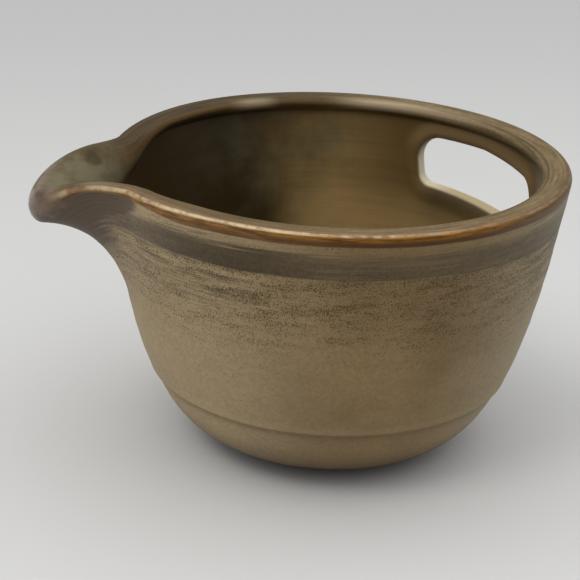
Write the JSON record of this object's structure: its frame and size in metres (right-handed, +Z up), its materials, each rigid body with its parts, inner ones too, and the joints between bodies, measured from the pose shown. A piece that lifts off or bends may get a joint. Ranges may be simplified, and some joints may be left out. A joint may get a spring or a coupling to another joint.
{
  "type": "spouted bowl",
  "caption": "Stoneware bowl with a drawn spout in its rim, an oblong grip opening through the wall behind it, a turned step low on the wall and a low foot ring.",
  "frame": {"origin": "centre of the whole length, spout tip to far rim, on the plane that the foot ring stands on", "axes": "+Z up; the spout pours towards -X; the grip opening is in the +X wall, turned 25 degrees towards +Y"},
  "size_m": [0.1448, 0.125, 0.081],
  "materials": {
    "iron_glaze": "matte tan iron glaze, glossier inside, dark speckles and brushed bands",
    "spout_glaze": "the same glaze under a brushed dark iron wash",
    "bare_clay": "unglazed fired stoneware, matte"
  },
  "bodies": {
    "root": {"bowl_body": "iron_glaze", "spout": "spout_glaze", "foot_ring": "bare_clay"}
  },
  "joints": []
}
